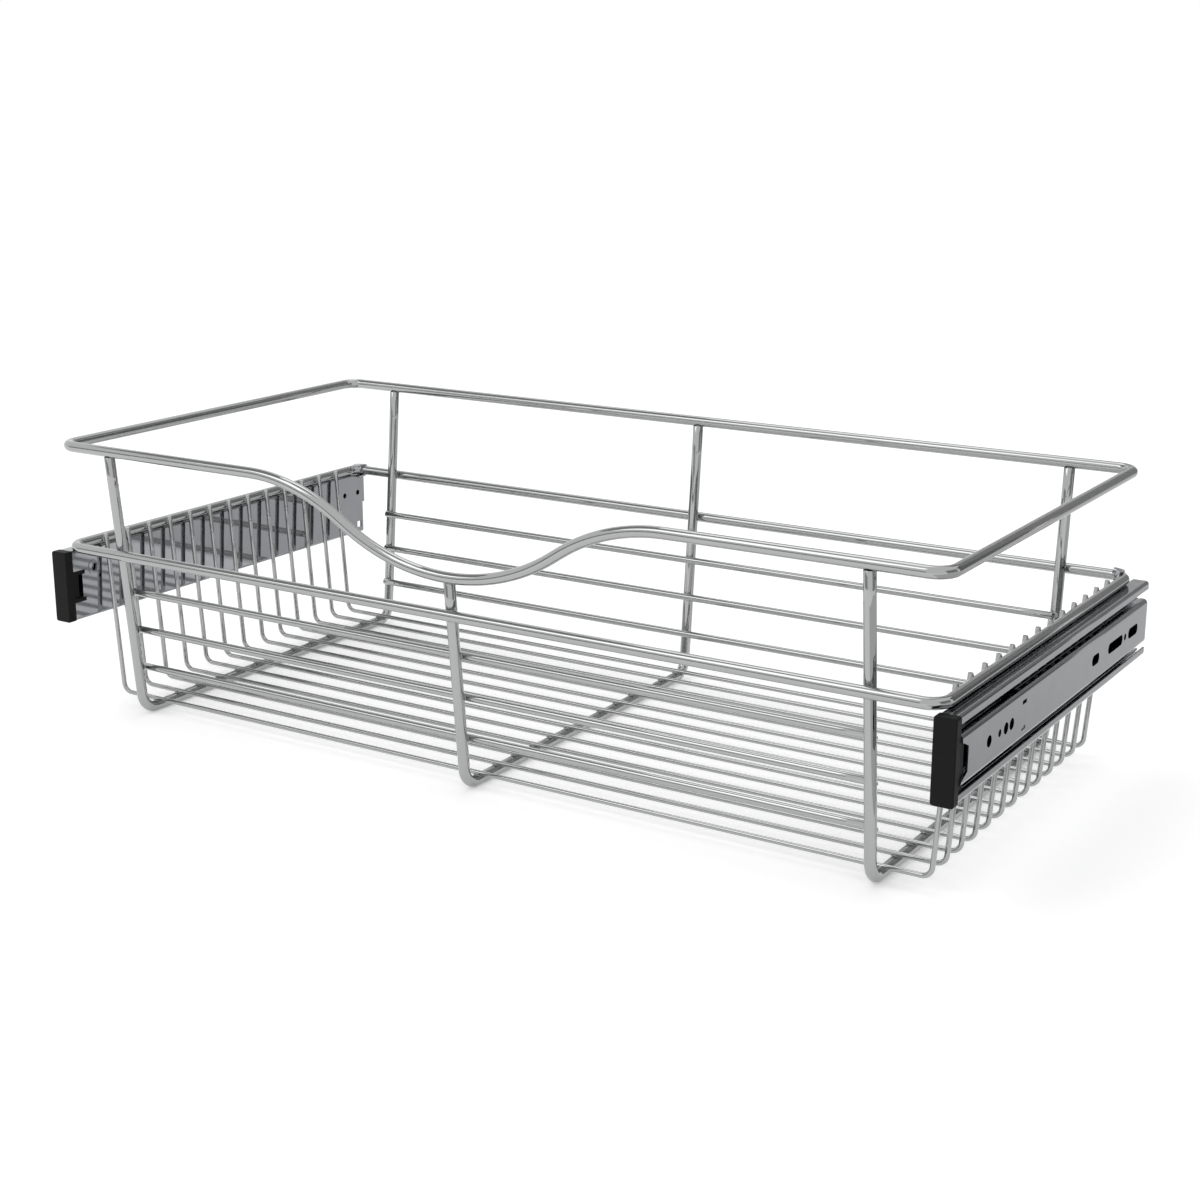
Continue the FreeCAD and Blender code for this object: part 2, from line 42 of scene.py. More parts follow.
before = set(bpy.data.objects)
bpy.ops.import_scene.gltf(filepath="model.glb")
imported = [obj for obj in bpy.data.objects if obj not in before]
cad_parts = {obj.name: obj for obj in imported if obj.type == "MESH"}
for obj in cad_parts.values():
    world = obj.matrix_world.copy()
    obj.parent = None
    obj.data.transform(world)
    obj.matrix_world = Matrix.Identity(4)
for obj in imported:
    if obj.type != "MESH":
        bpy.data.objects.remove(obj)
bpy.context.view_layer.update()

MM = 0.001
SIDES = ("left", "right")
CROSS_WIRES = [name for name in sorted(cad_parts) if name.startswith("cross_wire_")]
RAILS = [name for name in sorted(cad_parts) if "_rail_" in name]
LOOPS = ("frame_loop_left", "frame_loop_centre", "frame_loop_right")
LONGEST_RUN = 20 * MM           # longest straight stretch between two rings of a wire
WELD_SEED = 7
WELD_SINK = 0.1 * MM            # how far a bead's middle lies inside its wire
# A bead's reach along its two wires, as shares of each wire's diameter, and its height
WELD_SIZES = {
    "floor": (0.40, 0.55, 0.7 * MM),
    "side": (0.42, 0.62, 0.6 * MM),
    "rail": (0.42, 0.40, 0.7 * MM),
    "rim": (0.40, 0.40, 0.8 * MM),
    "leg_end": (0.42, 0.22, 0.9 * MM),
}
FLOOR_SIZE = 60.0
STUDIO_MIDDLE = Vector((0, 0, 0.09))
# Name, azimuth and elevation in degrees, distance, width, height, grey
CARDS = (
    ("card_back_right", 134, 17, 1.6, 0.75, 1.20, 0.24),
    ("card_back", 161, 17, 1.65, 0.78, 1.20, 0.38),
    ("card_back_left", 191, 24, 1.7, 1.00, 1.20, 0.66),
    ("card_front_left", -32, 6, 2.2, 2.00, 0.62, 0.50),
    ("card_high_left", -84, 52, 1.8, 1.50, 0.75, 0.45),
    ("card_right", 88, 18, 1.8, 1.40, 1.10, 0.40),
    ("card_back_high", 167, 44, 1.57, 0.58, 0.60, 0.38),
    ("card_above", -54, 70, 1.07, 0.24, 0.34, 0.45),
)
# Name, left, right, front and back edge, grey
FLOOR_CARDS = (
    ("card_floor_back", -0.40, 0.34, 0.20, 1.80, 0.81),
    ("card_floor_right", 0.34, 1.90, -0.50, 1.80, 0.77),
)
FLOOR_CARD_LIFT = 0.5 * MM
# Name, azimuth and elevation in degrees, distance, share of the main softbox's power
SOFTBOXES = (
    ("softbox_front", -40, 46, 4.0, 1.0),
    ("softbox_back", -135, 60, 4.4, 0.6),
)


def srgb(code):
    """Linear colour of an sRGB hex code."""
    channels = [int(code[i:i + 2], 16) / 255 for i in (1, 3, 5)]
    return [c / 12.92 if c <= 0.04045 else ((c + 0.055) / 1.055) ** 2.4 for c in channels]


class WireSettings(bpy.types.PropertyGroup):
    """Sizes and colours of the basket's wires."""

    rim_wire: FloatProperty(
        name="Top rim wire", description="Diameter of the top rim's wire",
        default=6.6 * MM, min=1 * MM, unit="LENGTH", precision=5)
    middle_wire: FloatProperty(
        name="Middle rim wire", description="Diameter of the middle rim's wire",
        default=6.4 * MM, min=1 * MM, unit="LENGTH", precision=5)
    loop_wire: FloatProperty(
        name="Loop wire", description="Diameter of the three frame loops' wire",
        default=6.6 * MM, min=1 * MM, unit="LENGTH", precision=5)
    cross_wire: FloatProperty(
        name="Cross wire", description="Diameter of the thin wires across the floor",
        default=2.9 * MM, min=1 * MM, unit="LENGTH", precision=5)
    corner_radius: FloatProperty(
        name="Rim corner", description="Bend radius of both rims at their corners",
        default=10.5 * MM, unit="LENGTH", precision=5)
    loop_bend: FloatProperty(
        name="Loop bend", description="Bend radius at the foot of a frame loop",
        default=11 * MM, unit="LENGTH", precision=5)
    cross_bend: FloatProperty(
        name="Cross wire bend", description="Bend radius at the foot of a cross wire",
        default=6 * MM, unit="LENGTH", precision=5)
    loop_lean: FloatProperty(
        name="Loop lean", description="How far the frame loops' legs lean outwards",
        default=math.radians(5.25), unit="ROTATION")
    cross_lean: FloatProperty(
        name="Cross wire lean", description="How far the cross wires' sides lean outwards",
        default=math.radians(4.3), unit="ROTATION")
    dip_low: FloatProperty(
        name="Dip, low bend", description="Radius of the arc at the bottom of the front dip",
        default=128 * MM, unit="LENGTH", precision=5)
    dip_high: FloatProperty(
        name="Dip, high bends", description="Radius of the arcs at both ends of the front dip",
        default=117 * MM, unit="LENGTH", precision=5)
    dip_straight: FloatProperty(
        name="Dip, straight run", description="Straight wire between the dip's arcs",
        default=7.7 * MM, unit="LENGTH", precision=5)
    dip_tilt: FloatProperty(
        name="Dip tilt", description="How far the dip leans into the basket",
        default=math.radians(3), unit="ROTATION")
    cut_bevel: FloatProperty(
        name="Cut edge", description="Rounding of the wires' cut ends",
        default=0.3 * MM, unit="LENGTH", precision=5)
    sides: IntProperty(
        name="Sides", description="Facets round a thick wire", default=40, min=8)
    chrome: FloatVectorProperty(
        name="Chrome", description="Colour of the chrome plating",
        subtype="COLOR", size=3, min=0, max=1, default=srgb("#AAABAB"))


class SlideSettings(bpy.types.PropertyGroup):
    """Colours of the slides, their caps and their bearings."""

    zinc: FloatVectorProperty(
        name="Zinc", description="Colour of the bright zinc plating",
        subtype="COLOR", size=3, min=0, max=1, default=srgb("#9EA0A3"))
    cap: FloatVectorProperty(
        name="End cap", description="Colour of the moulded end caps",
        subtype="COLOR", size=3, min=0, max=1, default=srgb("#101011"))
    # The cage and ball greys are darkened well below plain steel as painted shade of the groove they run in.
    cage: FloatVectorProperty(
        name="Ball cage", description="Colour of the stamped ball cages",
        subtype="COLOR", size=3, min=0, max=1, default=srgb("#515255"))
    ball: FloatVectorProperty(
        name="Balls", description="Colour of the bearing balls",
        subtype="COLOR", size=3, min=0, max=1, default=srgb("#56575A"))


class StageSettings(bpy.types.PropertyGroup):
    """Camera, floor and light."""

    azimuth: FloatProperty(
        name="Azimuth", description="Camera's angle round the basket from its front",
        default=math.radians(32.27), unit="ROTATION")
    elevation: FloatProperty(
        name="Elevation", description="Camera's angle above the floor",
        default=math.radians(15.60), unit="ROTATION")
    distance: FloatProperty(
        name="Distance", description="Camera to the point that it looks at",
        default=1.2050, unit="LENGTH")
    target: FloatVectorProperty(
        name="Target", description="Point that the camera looks at",
        subtype="TRANSLATION", size=3, default=(0.0089, 0.0037, 0.0842))
    lens: FloatProperty(
        name="Lens", description="Focal length in millimetres on a 36 mm sensor", default=58.92)
    floor: FloatVectorProperty(
        name="Floor", description="Colour of the floor",
        subtype="COLOR", size=3, min=0, max=1, default=srgb("#F4F4F4"))
    room_light: FloatProperty(
        name="Room light", description="Level of the even light from all sides", default=0.86)
    softbox_size: FloatProperty(
        name="Softbox", description="Width of the main softbox",
        default=1.90, unit="LENGTH")
    softbox_power: FloatProperty(
        name="Softbox power", description="Power of the main softbox in watts", default=18.0)


# Mesh helpers

def rounded_path(corners, radius, closed=False, step=math.radians(4)):
    """Points along straight runs joined by tangent arcs of one radius."""
    count = len(corners)
    path = []
    for i, corner in enumerate(corners):
        if not closed and i in (0, count - 1):
            path.append(corner.copy())
            continue
        back = (corners[i - 1] - corner).normalized()
        ahead = (corners[(i + 1) % count] - corner).normalized()
        half = back.angle(ahead) / 2
        turn = math.pi - 2 * half
        middle = (back + ahead).normalized()
        centre = corner + middle * (radius / math.sin(half))
        first = corner + back * (radius / math.tan(half)) - centre
        axis = first.cross(corner + ahead * (radius / math.tan(half)) - centre)
        steps = max(2, math.ceil(turn / step))
        for j in range(steps + 1):
            path.append(centre + Matrix.Rotation(turn * j / steps, 3, axis) @ first)
    return path


def divided(path, longest, closed=False):
    """The same path with its long straight runs cut into shorter ones."""
    result = []
    pairs = list(zip(path, path[1:] + path[:1])) if closed else list(zip(path, path[1:]))
    for a, b in pairs:
        pieces = max(1, math.ceil((b - a).length / longest))
        result += [a.lerp(b, j / pieces) for j in range(pieces)]
    if not closed:
        result.append(path[-1].copy())
    return result


def ring_frames(path, closed):
    """Tangent and normal at each point, carried along without twist."""
    count = len(path)
    tangents = []
    for i in range(count):
        before = path[i - 1] if closed or i > 0 else path[i]
        after = path[(i + 1) % count] if closed or i < count - 1 else path[i]
        tangents.append((after - before).normalized())
    side = Vector((0, 0, 1)) if abs(tangents[0].z) < 0.9 else Vector((0, 1, 0))
    normal = (side - tangents[0] * side.dot(tangents[0])).normalized()
    normals = [normal]
    for i in range(1, count):
        turn = tangents[i - 1].rotation_difference(tangents[i])
        normals.append((turn @ normals[-1]).normalized())
    if closed:
        turn = tangents[-1].rotation_difference(tangents[0])
        carried = turn @ normals[-1]
        twist = math.atan2(tangents[0].dot(carried.cross(normals[0])), carried.dot(normals[0]))
        for i in range(count):
            normals[i] = Matrix.Rotation(twist * i / count, 3, tangents[i]) @ normals[i]
    return tangents, normals


def add_wire(bm, path, radius, sides, closed=False, bevel=0.0):
    """Round wire along a path, with U along its length and V round it, both in metres."""
    if not closed:
        start = (path[1] - path[0]).normalized() * bevel
        end = (path[-2] - path[-1]).normalized() * bevel
        path = [path[0], path[0] + start] + path[1:-1] + [path[-1] + end, path[-1]]
    tangents, normals = ring_frames(path, closed)
    layer = bm.loops.layers.uv.verify()
    lengths = [0.0]
    for a, b in zip(path, path[1:] + path[:1]):
        lengths.append(lengths[-1] + (b - a).length)
    rings = []
    for i, point in enumerate(path):
        at_cut = not closed and i in (0, len(path) - 1)
        r = radius - bevel if at_cut else radius
        other = tangents[i].cross(normals[i])
        ring = []
        for j in range(sides):
            angle = math.tau * j / sides
            ring.append(bm.verts.new(point + (normals[i] * math.cos(angle) + other * math.sin(angle)) * r))
        rings.append(ring)
    around = math.tau * radius / sides
    count = len(rings) if closed else len(rings) - 1
    for i in range(count):
        a = rings[i]
        b = rings[(i + 1) % len(rings)]
        for j in range(sides):
            k = (j + 1) % sides
            face = bm.faces.new((a[j], a[k], b[k], b[j]))
            face.smooth = True
            corners = ((i, j), (i, j + 1), (i + 1, j + 1), (i + 1, j))
            for loop, (along, across) in zip(face.loops, corners):
                loop[layer].uv = (lengths[along], across * around)
    if not closed:
        for ring, order in ((rings[0], -1), (rings[-1], 1)):
            face = bm.faces.new(ring[::order])
            for edge in face.edges:
                edge.smooth = False
            for loop, vert in zip(face.loops, ring[::order]):
                loop[layer].uv = (vert.co.x + vert.co.y, vert.co.z)


def add_bead(bm, centre, along_a, along_b, reach_a, reach_b, height, seed):
    """Squeezed-out weld metal: a flat uneven blob between two wires that cross."""
    lumps = 1.7               # noise features over the bead's half width
    unevenness = 0.16
    normal = along_a.cross(along_b).normalized()
    basis = Matrix((along_a * reach_a, along_b * reach_b, normal * height)).transposed()
    made = bmesh.ops.create_icosphere(bm, subdivisions=3, radius=1.0)["verts"]
    for vert in made:
        direction = vert.co.normalized()
        swell = noise.noise(direction * lumps + Vector((seed, seed * 0.37, -seed)))
        vert.co = centre + basis @ (direction * (1 + unevenness * swell))
    for vert in made:
        for face in vert.link_faces:
            face.smooth = True


def new_piece(name, bm, material):
    """Object from a bmesh, linked to the scene, with one material."""
    mesh = bpy.data.meshes.new(name)
    bm.normal_update()
    bm.to_mesh(mesh)
    bm.free()
    mesh.materials.append(material)
    piece = bpy.data.objects.new(name, mesh)
    bpy.context.scene.collection.objects.link(piece)
    return piece


def dress(node, material):
    """Gives a node of the frame a finish."""
    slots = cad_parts[node].data.materials
    slots.clear()
    slots.append(material)


# Materials

def add_node(owner, kind, settings=None, **links):
    """Adds a node to a material or world, sets its inputs or attributes, and links inputs to
    (node, output) pairs."""
    tree = owner.node_tree
    node = tree.nodes.new(kind)
    for key, value in (settings or {}).items():
        if key in node.inputs:
            node.inputs[key].default_value = value
        else:
            setattr(node, key, value)
    for key, (source, output) in links.items():
        tree.links.new(source.outputs[output], node.inputs[key.replace("_", " ")])
    return node


def new_material(name):
    """Empty node material with its output node."""
    material = bpy.data.materials.get(name) or bpy.data.materials.new(name)
    material.use_nodes = True
    material.node_tree.nodes.clear()
    return material, add_node(material, "ShaderNodeOutputMaterial")


def finish_material(material, output, shader):
    """Links the shader to the output."""
    material.node_tree.links.new(shader.outputs[0], output.inputs["Surface"])
    return material


def chrome_wire():
    """Drawn steel wire, bright nickel-chrome plated: a near mirror, which shows the faint draw lines
    that the plating follows along the wire and a slight orange-peel swell."""
    material, output = new_material("chrome_plated_wire")
    settings = bpy.context.scene.basket_wires
    uv = add_node(material, "ShaderNodeTexCoord")
    draw_line = 0.35 * MM     # real draw lines are nearer 0.05 mm: drawn coarser to show
    swell = 5 * MM
    lines = add_node(material, "ShaderNodeMapping",
                     {"Scale": (0.02 / draw_line, 1 / draw_line, 1)}, Vector=(uv, "UV"))
    fine = add_node(material, "ShaderNodeTexNoise",
                    {"Scale": 1.0, "Detail": 3.0, "Roughness": 0.6}, Vector=(lines, "Vector"))
    soft = add_node(material, "ShaderNodeTexNoise",
                    {"Scale": 1 / swell, "Detail": 2.0}, Vector=(uv, "Object"))
    bump = add_node(material, "ShaderNodeBump",
                    {"Strength": 0.06, "Distance": 0.02 * MM}, Height=(fine, "Fac"))
    peel = add_node(material, "ShaderNodeBump",
                    {"Strength": 0.10, "Distance": 0.05 * MM}, Height=(soft, "Fac"), Normal=(bump, "Normal"))
    rough = add_node(material, "ShaderNodeMapRange",
                     {"To Min": 0.03, "To Max": 0.08}, Value=(soft, "Fac"))
    shader = add_node(material, "ShaderNodeBsdfPrincipled",
                      {"Base Color": (*settings.chrome, 1), "Metallic": 1.0},
                      Roughness=(rough, "Result"), Normal=(peel, "Normal"))
    return finish_material(material, output, shader)


def weld_metal():
    """Resistance weld flash under the same plating: rough-cast steel, so duller and pitted."""
    material, output = new_material("plated_weld_metal")
    settings = bpy.context.scene.basket_wires
    coords = add_node(material, "ShaderNodeTexCoord")
    grit = 0.4 * MM
    pits = add_node(material, "ShaderNodeTexNoise",
                    {"Scale": 1 / grit, "Detail": 4.0}, Vector=(coords, "Object"))
    bump = add_node(material, "ShaderNodeBump",
                    {"Strength": 0.5, "Distance": 0.08 * MM}, Height=(pits, "Fac"))
    rough = add_node(material, "ShaderNodeMapRange",
                     {"To Min": 0.16, "To Max": 0.34}, Value=(pits, "Fac"))
    shader = add_node(material, "ShaderNodeBsdfPrincipled",
                      {"Base Color": (*[c * 0.8 for c in settings.chrome], 1), "Metallic": 1.0},
                      Roughness=(rough, "Result"), Normal=(bump, "Normal"))
    return finish_material(material, output, shader)


def zinc_sheet():
    """Cold-rolled steel strip, roll-formed and bright zinc plated: satin, bluish, with faint rolling
    lines along the slide and a soft cloudiness of the plating."""
    material, output = new_material("zinc_plated_strip")
    settings = bpy.context.scene.basket_slides
    coords = add_node(material, "ShaderNodeTexCoord")
    rolling = 0.3 * MM        # real rolling lines are about 0.03 mm: drawn coarser to show
    cloud = 14 * MM
    lines = add_node(material, "ShaderNodeMapping",
                     {"Scale": (1 / rolling, 0.012 / rolling, 1 / rolling)}, Vector=(coords, "Object"))
    fine = add_node(material, "ShaderNodeTexNoise",
                    {"Scale": 1.0, "Detail": 2.0}, Vector=(lines, "Vector"))
    cloudy = add_node(material, "ShaderNodeTexNoise",
                      {"Scale": 1 / cloud, "Detail": 5.0, "Roughness": 0.6}, Vector=(coords, "Object"))
    tone = add_node(material, "ShaderNodeValToRGB", Fac=(cloudy, "Fac"))
    tone.color_ramp.elements[0].position = 0.3
    tone.color_ramp.elements[0].color = (*[c * 0.93 for c in settings.zinc], 1)
    tone.color_ramp.elements[1].position = 0.7
    tone.color_ramp.elements[1].color = (*settings.zinc, 1)
    bump = add_node(material, "ShaderNodeBump",
                    {"Strength": 0.04, "Distance": 0.01 * MM}, Height=(fine, "Fac"))
    rough = add_node(material, "ShaderNodeMapRange",
                     {"To Min": 0.03, "To Max": 0.06}, Value=(cloudy, "Fac"))
    shader = add_node(material, "ShaderNodeBsdfPrincipled", {"Metallic": 1.0, "Anisotropic": 0.3},
                      Base_Color=(tone, "Color"), Roughness=(rough, "Result"), Normal=(bump, "Normal"))
    return finish_material(material, output, shader)


def cap_plastic():
    """Injection-moulded black polypropylene: matte from a spark-eroded mould, with a weak sheen."""
    material, output = new_material("moulded_polypropylene")
    settings = bpy.context.scene.basket_slides
    coords = add_node(material, "ShaderNodeTexCoord")
    spark = 0.35 * MM         # real spark erosion is about 0.1 mm: drawn coarser to show
    grain = add_node(material, "ShaderNodeTexNoise",
                     {"Scale": 1 / spark, "Detail": 3.0}, Vector=(coords, "Object"))
    bump = add_node(material, "ShaderNodeBump",
                    {"Strength": 0.35, "Distance": 0.05 * MM}, Height=(grain, "Fac"))
    rough = add_node(material, "ShaderNodeMapRange",
                     {"To Min": 0.42, "To Max": 0.60}, Value=(grain, "Fac"))
    shader = add_node(material, "ShaderNodeBsdfPrincipled",
                      {"Base Color": (*settings.cap, 1), "IOR": 1.49, "Specular IOR Level": 0.15},
                      Roughness=(rough, "Result"), Normal=(bump, "Normal"))
    return finish_material(material, output, shader)


def cage_strip():
    """Plain stamped steel strip, dulled by a film of grease; its dark grey is painted shade of the slide's
    groove that the cage runs in.
    """
    material, output = new_material("stamped_cage_strip")
    settings = bpy.context.scene.basket_slides
    coords = add_node(material, "ShaderNodeTexCoord")
    film = add_node(material, "ShaderNodeTexNoise",
                    {"Scale": 1 / (6 * MM), "Detail": 3.0}, Vector=(coords, "Object"))
    rough = add_node(material, "ShaderNodeMapRange",
                     {"To Min": 0.45, "To Max": 0.60}, Value=(film, "Fac"))
    # Base colour: the cage grey, darkened as painted shade of the groove.
    shader = add_node(material, "ShaderNodeBsdfPrincipled",
                      {"Base Color": (*settings.cage, 1), "Metallic": 1.0}, Roughness=(rough, "Result"))
    return finish_material(material, output, shader)


def ball_steel():
    """Lapped bearing steel, whose mirror the same grease dulls; its dark grey is painted shade of the slide's
    groove that the balls run in.
    """
    material, output = new_material("lapped_ball_steel")
    settings = bpy.context.scene.basket_slides
    coords = add_node(material, "ShaderNodeTexCoord")
    smear = add_node(material, "ShaderNodeTexNoise",
                     {"Scale": 1 / (1.5 * MM), "Detail": 2.0}, Vector=(coords, "Object"))
    rough = add_node(material, "ShaderNodeMapRange",
                     {"To Min": 0.32, "To Max": 0.50}, Value=(smear, "Fac"))
    # Base colour: the ball grey, darkened as painted shade of the groove.
    shader = add_node(material, "ShaderNodeBsdfPrincipled",
                      {"Base Color": (*settings.ball, 1), "Metallic": 1.0}, Roughness=(rough, "Result"))
    return finish_material(material, output, shader)


# Where the wires run, worked out from the frame

def dip_path(settings, rim_x, run_y, rim_z, depth):
    """Front run of the top rim, from left to right, between its corners' arcs."""
    low = settings.dip_low
    high = settings.dip_high
    arcs = low + high
    swing = math.atan2(arcs, settings.dip_straight)
    slope = swing + math.asin((depth - arcs) / math.hypot(arcs, settings.dip_straight))
    outer = arcs * math.sin(slope) + settings.dip_straight * math.cos(slope)
    steps = 16
    half = []
    for i in range(steps + 1):
        angle = slope * i / steps
        half.append((low * math.sin(angle), depth - low * (1 - math.cos(angle))))
    for i in range(steps, -1, -1):
        angle = slope * i / steps
        half.append((outer - high * math.sin(angle), high * (1 - math.cos(angle))))

    tilt = settings.dip_tilt

    def place(x, drop):
        return Vector((x, run_y + drop * math.sin(tilt), rim_z - drop * math.cos(tilt)))

    left = [place(-x, drop) for x, drop in half[:0:-1]]
    right = [place(x, drop) for x, drop in half]
    return left + right


def top_rim_path(settings):
    """Closed path of the top rim."""
    r = settings.rim_wire / 2
    low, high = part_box("top_rim")
    x = high.x - r
    front = low.y + r
    back = high.y - r
    z = high.z - r
    depth = (high.z - low.z - 2 * r) / math.cos(settings.dip_tilt)
    corners = [Vector((0, front, z)), Vector((x, front, z)), Vector((x, back, z)),
               Vector((-x, back, z)), Vector((-x, front, z)), Vector((0, front, z))]
    round_the_back = rounded_path(corners, settings.corner_radius)[1:-1]
    return round_the_back + dip_path(settings, x, front, z, depth)


def middle_rim_path(settings):
    """Closed path of the middle rim."""
    r = settings.middle_wire / 2
    low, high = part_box("middle_rim")
    x = high.x - r
    front = low.y + r
    back = high.y - r
    z = high.z - r
    corners = [Vector((x, front, z)), Vector((x, back, z)), Vector((-x, back, z)), Vector((-x, front, z))]
    return rounded_path(corners, settings.corner_radius, closed=True)


def basket_middle():
    """Y of the basket's middle plane."""
    low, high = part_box("middle_rim")
    return (low.y + high.y) / 2


def loop_corners(settings, node):
    """The four corner points of a frame loop, from the front leg's top round to the back leg's."""
    r = settings.loop_wire / 2
    lean = settings.loop_lean
    low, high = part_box(node)
    x = (low.x + high.x) / 2
    middle = basket_middle()
    floor = low.z + r
    back_top = high.z - r * math.sin(lean)
    back_reach = high.y - middle - r * math.cos(lean)
    foot = back_reach - (back_top - floor) * math.tan(lean)
    front_reach = middle - low.y - r * math.cos(lean)
    front_top = floor + (front_reach - foot) / math.tan(lean)
    return [Vector((x, middle - front_reach, front_top)), Vector((x, middle - foot, floor)),
            Vector((x, middle + foot, floor)), Vector((x, middle + back_reach, back_top))]


def cross_wire_corners(settings, node):
    """The four corner points of a cross wire, from its left end to its right end."""
    r = settings.cross_wire / 2
    lean = settings.cross_lean
    low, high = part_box(node)
    y = (low.y + high.y) / 2
    floor = low.z + r
    top = high.z - r * math.sin(lean)
    top_x = high.x - r * math.cos(lean)
    foot = top_x - (top - floor) * math.tan(lean)
    return [Vector((-top_x, y, top)), Vector((-foot, y, floor)),
            Vector((foot, y, floor)), Vector((top_x, y, top))]


def rail_line(node):
    """Middle, half length and radius of a rail."""
    low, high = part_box(node)
    return (low + high) / 2, (high.x - low.x) / 2, (high.z - low.z) / 2


def point_at_height(corners, first, z):
    """Where the leg that ends at corner first passes height z."""
    foot = corners[1] if first == 0 else corners[2]
    top = corners[first]
    return foot.lerp(top, (z - foot.z) / (top.z - foot.z))


# Pieces

def finish_wire(node, bm):
    """Makes the piece that stands in for a wire's solid."""
    piece = new_piece(f"{node}_wire", bm, chrome_wire())
    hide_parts(node)
    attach(piece, "basket")


class BASKET_OT_rims(bpy.types.Operator):
    """Make the top rim with its front dip, and the middle rim"""

    bl_idname = "basket.rims"
    bl_label = "Rims"

    def execute(self, context):
        settings = context.scene.basket_wires
        wires = (("top_rim", top_rim_path(settings), settings.rim_wire),
                 ("middle_rim", middle_rim_path(settings), settings.middle_wire))
        for node, path, wire in wires:
            bm = bmesh.new()
            add_wire(bm, divided(path, LONGEST_RUN, closed=True), wire / 2, settings.sides, closed=True)
            finish_wire(node, bm)
        return {"FINISHED"}


class BASKET_OT_frame_loops(bpy.types.Operator):
    """Make the three frame loops that carry the floor"""

    bl_idname = "basket.frame_loops"
    bl_label = "Frame loops"

    def execute(self, context):
        settings = context.scene.basket_wires
        for node in LOOPS:
            path = rounded_path(loop_corners(settings, node), settings.loop_bend)
            bm = bmesh.new()
            add_wire(bm, divided(path, LONGEST_RUN), settings.loop_wire / 2, settings.sides,
                     bevel=settings.cut_bevel)
            finish_wire(node, bm)
        return {"FINISHED"}


class BASKET_OT_rails(bpy.types.Operator):
    """Make the straight rails across the front and the back"""

    bl_idname = "basket.rails"
    bl_label = "Rails"

    def execute(self, context):
        settings = context.scene.basket_wires
        for node in RAILS:
            middle, half, radius = rail_line(node)
            reach = Vector((half, 0, 0))
            bm = bmesh.new()
            add_wire(bm, divided([middle - reach, middle + reach], LONGEST_RUN), radius,
                     settings.sides * 3 // 4, bevel=settings.cut_bevel)
            finish_wire(node, bm)
        return {"FINISHED"}


class BASKET_OT_cross_wires(bpy.types.Operator):
    """Make the thin wires that cross the floor and climb both sides"""

    bl_idname = "basket.cross_wires"
    bl_label = "Cross wires"

    def execute(self, context):
        settings = context.scene.basket_wires
        for node in CROSS_WIRES:
            path = rounded_path(cross_wire_corners(settings, node), settings.cross_bend)
            bm = bmesh.new()
            add_wire(bm, divided(path, LONGEST_RUN), settings.cross_wire / 2,
                     settings.sides * 3 // 5, bevel=settings.cut_bevel / 2)
            finish_wire(node, bm)
        return {"FINISHED"}


